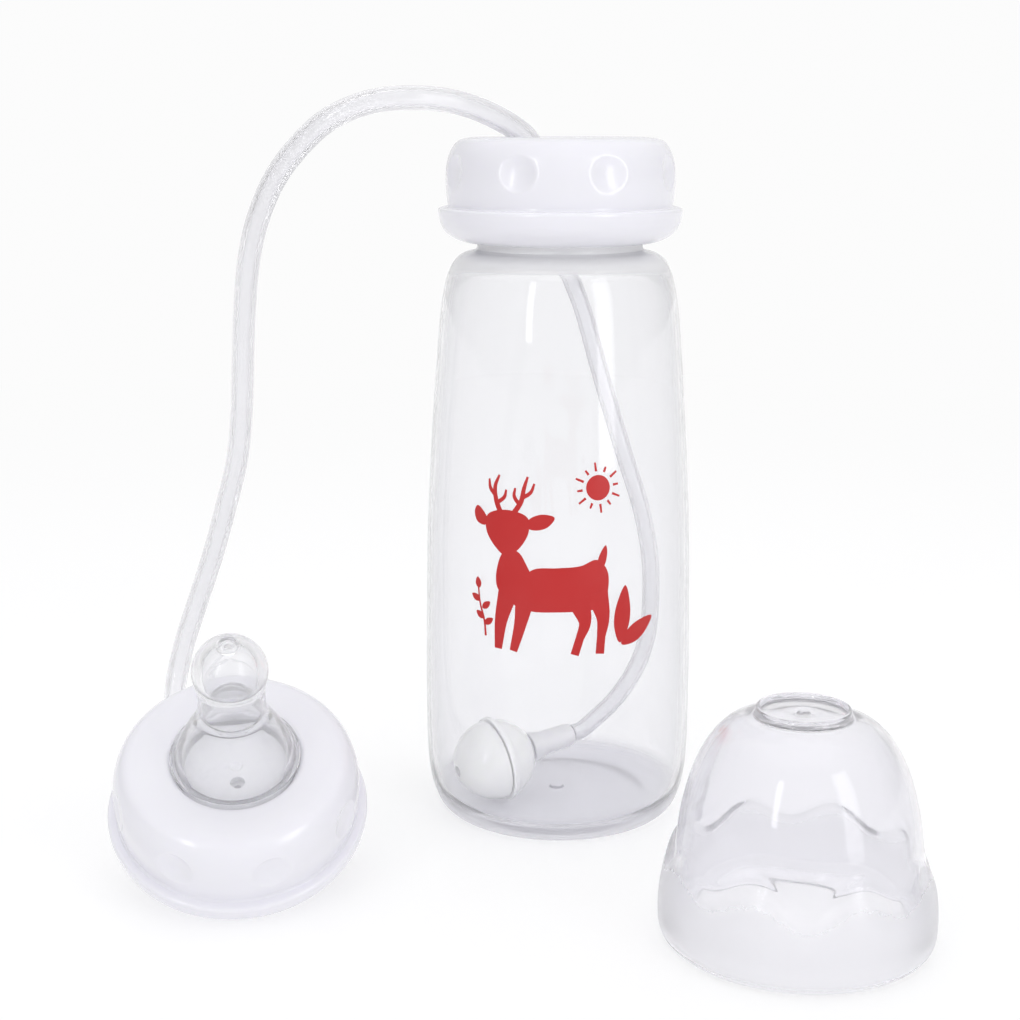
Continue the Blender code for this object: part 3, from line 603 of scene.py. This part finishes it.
vent = to_object("vent_valve_duckbill", lathe(rounded([
    (0, 139.8), (0.7, 139.8), (1.8, 142.6), (1.8, 144.9), (3.1, 144.9), (3.1, 145.5), (2.7, 145.8), (1.2, 145.8), (0.9, 144.4), (0, 144.4)], [0, 0.3, 0.3, 0.1, 0.2, 0.2, 0.2, 0.2, 0.2, 0]), 64),
    M_SEAL, AT_BOTTLE @ Matrix.Translation((6 * MM, 0, 0)))
place(vent, "lid_insert", "vent_valve", slot="soft_seal")

# ------------------------------------------------------------------ straw and weight
BALL_AT = Vector((-14.4, -9.3, 13.5))
BALL_N = Vector((0.877, 0.453, 0.149)).normalized()
END = BALL_AT + BALL_N * 20.0
straw_route = [(-5, 0, 140.6), (-4.8, 0, 137), (-2.4, 0, 131.5), (1.6, 0, 124.2), (5.0, 0, 115.5), (9.3, 0, 100.5), (14.6, 0, 83.2), (18.9, 0, 69.5),
               (21.0, 0, 58.0), (21.3, 0, 48.0), (20.5, 0, 39.4), (17.7, 0.2, 31.5), (13.2, 0.6, 24.4), (8.6, 0.9, 19.6), tuple(END + BALL_N * 2.7), tuple(END + BALL_N * 0.3)]
straw_path, STRAW_LONG = even(catmull(straw_route, 24), 0.9)
straw_path = [p + Vector((BX, BY, 0)) for p in straw_path]
straw = to_object("straw_hose", sweep(straw_path, 2.0, 1.3, 36), M_STRAW, None, 50)
place(straw, "straw", "straw_tube", slot="hose_silicone")

TURN = Matrix.Translation((BALL_AT + Vector((BX, BY, 0))) * MM) @ Vector((0, 0, 1)).rotation_difference(BALL_N).to_matrix().to_4x4()


def half_ball(side, hole, rim_r, rim):
    r_out, r_in = 9.2, 7.9
    start = math.degrees(math.asin(rim / r_out)) if rim else 1.0
    top = math.degrees(math.acos(hole / r_out))
    pts = []
    if rim:
        pts += [(rim_r - 0.15, side * 0.15), (rim_r, side * 0.3), (rim_r, side * (rim - 0.35)), (rim_r - 0.12, side * (rim - 0.1)), (rim_r - 0.35, side * rim), (9.2, side * rim)]
        start += 1.5
    else:
        pts += [(r_out - 0.12, side * 0.15), (r_out - 0.01, side * 0.3)]
        start += 2.5
    n = 16
    pts += [(r_out * math.cos(math.radians(start + (top - start) * k / n)), side * r_out * math.sin(math.radians(start + (top - start) * k / n))) for k in range(n + 1)]
    pts += [(hole - 0.02, side * (math.sqrt(r_out ** 2 - hole ** 2) - 0.2)), (hole, side * math.sqrt(r_in ** 2 - hole ** 2))]
    pts += [(r_in * math.cos(math.radians(a)), side * r_in * math.sin(math.radians(a))) for a in (68, 56, 44, 32, 20, 8)]
    pts += [(r_in, side * 0.15)]
    return lathe(pts, 96)


inlet = to_object("weight_ball_inlet", half_ball(-1, 1.3, 0, 0), M_BALL, TURN)
place(inlet, "straw", "weight_shell_inlet", slot="weight_white")
outlet = to_object("weight_ball_outlet", half_ball(1, 2.3, 9.8, 1.5), M_BALL, TURN)
place(outlet, "straw", "weight_shell_outlet", slot="weight_white")
seat = math.sqrt(9.2 ** 2 - 3.4 ** 2) + 0.55
ferrule = to_object("straw_ferrule_cone", lathe(rounded([(1.2, seat), (3.4, seat), (3.35, seat + 1.4), (2.75, seat + 3.2), (2.6, 19.4), (2.35, 20.0), (1.2, 20.0)], [0.1, 0.2, 0.4, 0.8, 0.3, 0.2, 0.1]), 72), M_FERRULE, TURN)
place(ferrule, "straw", "straw_ferrule", slot="ferrule_grey")
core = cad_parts["weight_core"]
core.data.materials.clear()
core.data.materials.append(M_STEEL)

# ------------------------------------------------------------------ nipple unit
NIP_AT = Vector((-67.3, -46.0, 17.5))
lean, tilt = math.radians(3.5), math.radians(29.5)
nip_n = Vector((math.sin(lean), -math.sin(tilt) * math.cos(lean), math.cos(tilt) * math.cos(lean)))
nip_a = (Vector((1, 0, 0)) - nip_n * nip_n.x).normalized()
nip_b = nip_n.cross(nip_a)
AT_NIP = Matrix.Translation((NIP_AT + Vector((BX, BY, 0))) * MM) @ Matrix((nip_a, nip_b, nip_n)).transposed().to_4x4()
AT_NPORT = AT_NIP @ Matrix.Translation((0.8 * MM, -4.2 * MM, 0))
make_collar("nipple_collar_shell", AT_NIP, "nipple_ring", "nipple_collar")

plug = to_object("nipple_plug_shell", lathe(rounded([(0, 10.2), (15.2, 10.2), (15.4, -7.2), (15.6, -7.5), (17.0, -7.5), (17.0, 11.1), (16.5, 11.6), (1.4, 11.6), (1.0, 11.3), (0, 11.3)],
                                                  [0, 0.8, 0.1, 0.1, 0.3, 0.3, 0.3, 0.1, 0.2, 0]), 128), M_INSERT, AT_NIP)
join_by_boolean(plug, thread_ridge(16.7, 18.2, -4.0, 1.25, 0.75, 0.4), AT_NIP)
join_by_boolean(plug, lathe([(0, 3.6), (4.4, 3.6), (4.4, 10.6), (0, 10.6)], 48), AT_NPORT)
join_by_boolean(plug, lathe([(0, 2.6), (3.2, 2.6), (3.2, 10.2), (0, 10.2)], 48), AT_NPORT, "DIFFERENCE")
join_by_boolean(plug, lathe([(0, 9.2), (1.5, 9.2), (1.5, 12.6), (0, 12.6)], 48), AT_NPORT, "DIFFERENCE")
place(plug, "nipple_unit", "nipple_plug", slot="insert_white")
hconn = to_object("hose_connector_barb", lathe(rounded([(0.9, 6.3), (2.9, 6.3), (2.9, 3.3), (3.8, 3.3), (3.8, 2.5), (2.5, 1.8), (0.9, 1.8)], [0.1, 0.2, 0.1, 0.2, 0.3, 0.2, 0.1]), 64), M_INSERT, AT_NPORT)
place(hconn, "nipple_unit", "hose_connector", slot="insert_white")
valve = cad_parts["nipple_valve"]
valve.data.materials.clear()
valve.data.materials.append(M_SEAL)

outer_n = [(11.0, 11.9), (17.0, 11.9), (17.2, 12.1), (17.2, 12.9), (17.0, 13.1), (12.8, 13.1), (12.6, 13.3), (12.6, 15.0), (12.75, 15.12), (13.0, 15.2), (13.12, 15.45), (13.05, 15.75), (12.75, 15.95), (12.35, 16.05)]
outer_n += sm([(12.15, 16.25), (11.85, 17.2), (11.1, 19.2), (10.1, 21.4), (9.0, 23.6), (7.95, 25.8), (7.15, 27.6), (6.78, 29.2), (6.66, 31.0), (6.66, 34.0), (6.72, 36.4), (7.0, 37.6), (7.3, 38.7)], 5)
outer_n += [(7.4 * math.cos(math.radians(a)), 40.0 + 7.4 * math.sin(math.radians(a))) for a in range(-6, 70, 4)]
outer_n += [(2.35, 47.02), (2.3, 47.22), (2.26, 47.5), (2.05, 47.68), (1.8, 47.66), (1.65, 47.4), (1.5, 47.2), (1.1, 47.2), (0.85, 47.4), (0.5, 47.62), (0, 47.68)]
inner_n = [(0, 45.6)] + sm([(1.6, 45.4), (3.3, 44.5), (4.7, 42.9), (5.4, 40.9), (5.55, 39.2), (5.45, 38.3)], 5)
inner_n += sm([(5.3, 37.9), (5.55, 37.55), (5.8, 36.9), (5.82, 34.0), (5.82, 31.0), (5.75, 29.6)], 4)
inner_n += sm([(5.55, 29.1), (5.75, 28.7), (6.3, 28.0), (7.0, 26.0), (8.1, 23.6), (9.2, 21.2), (10.1, 18.9), (10.75, 16.6), (11.0, 14.4)], 5)
nip = to_object("nipple_teat", lathe(outer_n + inner_n, 144), M_NIPPLE, AT_NIP, 40)
place(nip, "nipple_body", "nipple", slot="nipple_silicone")

# ------------------------------------------------------------------ feeding hose
port = NIP_AT + nip_a * 0.8 - nip_b * 4.2
hose_route = [(-5, 0, 146.3), (-5, 0, 147.9), (-5.9, -0.2, 150.0), (-8.6, -0.9, 153.2), (-15.8, -4.4, 157.4), (-23.3, -8.2, 159.8), (-32.2, -11.6, 160.5), (-40.2, -13.2, 159.6),
              (-48.8, -12.8, 156.1), (-55.6, -10.4, 150.4), (-61.4, -6.6, 143.4), (-65.6, -2.7, 135.2), (-68.5, 1.6, 126.2), (-70.4, 5.4, 114.6), (-71.6, 8.4, 103),
              (-72.6, 10.6, 91), (-74.4, 12.9, 79), (-77.8, 15.0, 67), (-81.6, 16.9, 55), (-85.8, 18.6, 43.4), (-89.6, 18.9, 32.4), (-91.8, 17.2, 22.4),
              (-92.0, 13.0, 12.6), (-90.2, 5.4, 5.4), (-86.2, -4.6, 2.9), (-80.6, -15.0, 2.7), (-74.6, -25.0, 2.7), (-70.0, -34.0, 3.6),
              (-67.7, -41.0, 6.3)] + [tuple(port + nip_n * h) for h in (-4.4, -0.6, 0.4, 1.5)]
hose_path, HOSE_LONG = even(catmull(hose_route, 24), 1.0)
hose_path = [p + Vector((BX, BY, 0)) for p in hose_path]
hose = to_object("feeding_hose", sweep(hose_path, 2.5, 1.5, 40), M_HOSE, None, 50)
place(hose, "nipple_unit", "feed_hose", slot="hose_silicone")
print("LENGTHS", HOSE_LONG, STRAW_LONG)

# ------------------------------------------------------------------ dome cap: clear dome, frosted skirt whose top edge runs in eight waves
WAVE_UP = 1.85
WAVE_AT = math.radians(-5)


def wave_of(a):
    """Eight lobes; the one at the front hangs lower."""
    front = a + math.pi / 2 - WAVE_AT
    front = (front + math.pi) % (2 * math.pi) - math.pi
    return math.cos(8 * front + math.pi) - 0.6 * math.exp(-(front / math.radians(13)) ** 2)


cap_out = [(24.1, 0.25), (24.4, 0.02), (24.9, 0.12), (25.5, 0.42)] + sm([(25.8, 0.7), (26.4, 1.4), (26.9, 2.8), (27.05, 5.5), (26.85, 9.5), (26.45, 12.4), (26.0, 14.4), (25.45, 15.8), (24.85, 16.8), (24.35, 17.6), (24.08, 18.5),
                                                                   (23.9, 19.8), (23.6, 21.6), (23.15, 24.5), (22.4, 28.0), (21.35, 32.0), (19.85, 36.0), (18.1, 39.2), (16.0, 41.9), (13.8, 43.6), (11.4, 44.6), (9.9, 44.9)], 5)
cap_out += [(9.55, 45.0), (9.35, 45.2), (9.25, 45.5), (9.2, 46.2), (9.1, 46.55), (8.9, 46.72), (8.6, 46.75), (8.35, 46.6), (8.2, 46.3), (8.1, 45.95), (7.9, 45.7), (7.5, 45.6), (4.5, 45.58), (1.5, 45.6), (1.3, 45.68), (1.1, 45.9), (0.8, 46.0), (0, 46.02)]
cap_in = [(0, 44.3), (8.0, 44.2), (9.2, 43.9)] + sm([(11.0, 43.3), (13.2, 42.3), (15.1, 40.7), (17.0, 38.2), (18.6, 35.3), (20.05, 31.6), (21.1, 27.7), (21.85, 24.2), (22.4, 20.2), (23.0, 17.6), (23.8, 15.4), (24.6, 13.2), (25.3, 10.2), (25.5, 7.4), (25.4, 5.4), (25.1, 3.2), (24.6, 1.4), (24.0, 0.5)], 5)
n_out = len(cap_out)


def cap_move(r, z, a, k):
    if r < 15:
        return r, z
    if k < n_out:
        near = (z - 7.0) / 9.5 if z < 17.6 else (27.0 - z) / 9.4
    else:
        near = 0.7 * ((z - 6.0) / 9.6 if z < 15.6 else (24.0 - z) / 8.4)
    near = max(0.0, min(1.0, near))
    near = near * near * (3 - 2 * near)
    return r, z + WAVE_UP * near * wave_of(a)


CAP_AT = Matrix.Translation(((BX + 45.0) * MM, (BY - 70.4) * MM, 0))
cap_bm = lathe(cap_out + cap_in, 256, cap_move)
cap = to_object("dome_cap_shell", cap_bm, M_CAP, CAP_AT, 70)
frost = cap.data.attributes.new("frost", "FLOAT", "POINT")
index = 0
for k, (r, z) in enumerate(cap_out + cap_in):
    count = 1 if r < 1e-5 else 256
    if k < n_out:
        value = max(0.0, min(1.0, (z - 0.8) / 1.4)) * max(0.0, min(1.0, (18.6 - z) / 5.0))
    else:
        value = max(0.0, min(0.6, (z - 4.9) / 0.8)) * max(0.0, min(1.0, (16.5 - z) / 4.0))
    for i in range(count):
        frost.data[index + i].value = value
    index += count
place(cap, "cap", "dome_cap", slot="cap_clear")

# ------------------------------------------------------------------ stage: pale floor, soft studio light
WHITE = 0.972


def floor():
    bm = bmesh.new()
    bmesh.ops.create_circle(bm, cap_ends=True, radius=9.0, segments=96)
    mesh = bpy.data.meshes.new("floor")
    bm.to_mesh(mesh)
    bm.free()
    obj = bpy.data.objects.new("floor", mesh)
    scene.collection.objects.link(obj)
    obj.location.z = -0.00005
    mat = bpy.data.materials.new("floor_white")
    tree, shader, out = nodes_of(mat)
    shader.inputs["Base Color"].default_value = (0.46, 0.46, 0.465, 1)
    shader.inputs["Roughness"].default_value = 0.6
    shader.inputs["Specular IOR Level"].default_value = 0.1
    shader.inputs["Emission Color"].default_value = (1, 1, 1, 1)
    shader.inputs["Emission Strength"].default_value = 0.525
    glow = tree.nodes.new("ShaderNodeEmission")
    glow.inputs["Color"].default_value = (1, 1, 1, 1)
    glow.inputs["Strength"].default_value = WHITE
    coords = tree.nodes.new("ShaderNodeTexCoord")
    length = tree.nodes.new("ShaderNodeVectorMath")
    length.operation = "LENGTH"
    tree.links.new(coords.outputs["Object"], length.inputs[0])
    rng = tree.nodes.new("ShaderNodeMapRange")
    rng.interpolation_type = "SMOOTHSTEP"
    rng.inputs["From Min"].default_value = 0.16
    rng.inputs["From Max"].default_value = 0.75
    tree.links.new(length.outputs["Value"], rng.inputs["Value"])
    mix = tree.nodes.new("ShaderNodeMixShader")
    tree.links.new(rng.outputs["Result"], mix.inputs["Fac"])
    tree.links.new(shader.outputs["BSDF"], mix.inputs[1])
    tree.links.new(glow.outputs["Emission"], mix.inputs[2])
    tree.links.new(mix.outputs["Shader"], out.inputs["Surface"])
    obj.data.materials.append(mat)


floor()

world = bpy.data.worlds.new("studio")
scene.world = world
world.use_nodes = True
wt = world.node_tree
bg = wt.nodes["Background"]
coords = wt.nodes.new("ShaderNodeTexCoord")
sep = wt.nodes.new("ShaderNodeSeparateXYZ")
wt.links.new(coords.outputs["Generated"], sep.inputs[0])
absx = wt.nodes.new("ShaderNodeMath")
absx.operation = "ABSOLUTE"
wt.links.new(sep.outputs["X"], absx.inputs[0])
side = wt.nodes.new("ShaderNodeMapRange")
side.interpolation_type = "SMOOTHSTEP"
side.inputs["From Min"].default_value = 0.45
side.inputs["From Max"].default_value = 0.95
side.inputs["To Min"].default_value = 0.82
side.inputs["To Max"].default_value = 0.55
wt.links.new(absx.outputs[0], side.inputs["Value"])
path = wt.nodes.new("ShaderNodeLightPath")
pick = wt.nodes.new("ShaderNodeMix")
pick.data_type = "FLOAT"
wt.links.new(path.outputs["Is Camera Ray"], pick.inputs[0])
wt.links.new(side.outputs["Result"], pick.inputs[2])
pick.inputs[3].default_value = WHITE
mul = wt.nodes.new("ShaderNodeMath")
mul.operation = "MULTIPLY"
mul.inputs[1].default_value = 1.0
wt.links.new(pick.outputs[0], mul.inputs[0])
wt.links.new(mul.outputs[0], bg.inputs["Strength"])
bg.inputs["Color"].default_value = (1, 1, 1, 1)


def area(name, at, target, size, power, size_y=None, colour=(1, 1, 1)):
    data = bpy.data.lights.new(name, "AREA")
    data.shape = "RECTANGLE" if size_y else "SQUARE"
    data.size = size
    if size_y:
        data.size_y = size_y
    data.energy = power
    data.color = colour
    obj = bpy.data.objects.new(name, data)
    scene.collection.objects.link(obj)
    obj.location = at
    direction = Vector(target) - Vector(at)
    obj.rotation_euler = direction.to_track_quat("-Z", "Y").to_euler()
    return obj


C = (BX * MM, BY * MM, 0.08)


def polar(azimuth, distance, height):
    """A place round the bottle: azimuth 0 is in front, 90 to the right."""
    a = math.radians(azimuth)
    return (C[0] + distance * math.sin(a), C[1] - distance * math.cos(a), height)


area("key_strip", polar(42, 0.95, 0.30), C, 0.28, 2.2, 0.95)
area("fill_strip", polar(-30, 1.0, 0.46), (C[0], C[1], 0.11), 0.10, 1.0, 0.62)
top = area("top_box", (0.0, -0.05, 0.95), (0, 0, 0), 1.0, 2.5)
top.visible_glossy = False

scene.view_settings.view_transform = "Standard"
scene.view_settings.look = "None"
scene.view_settings.exposure = 0.0
scene.cycles.max_bounces = 20
scene.cycles.transmission_bounces = 18
scene.cycles.transparent_max_bounces = 24
scene.cycles.caustics_refractive = True
scene.cycles.caustics_reflective = False
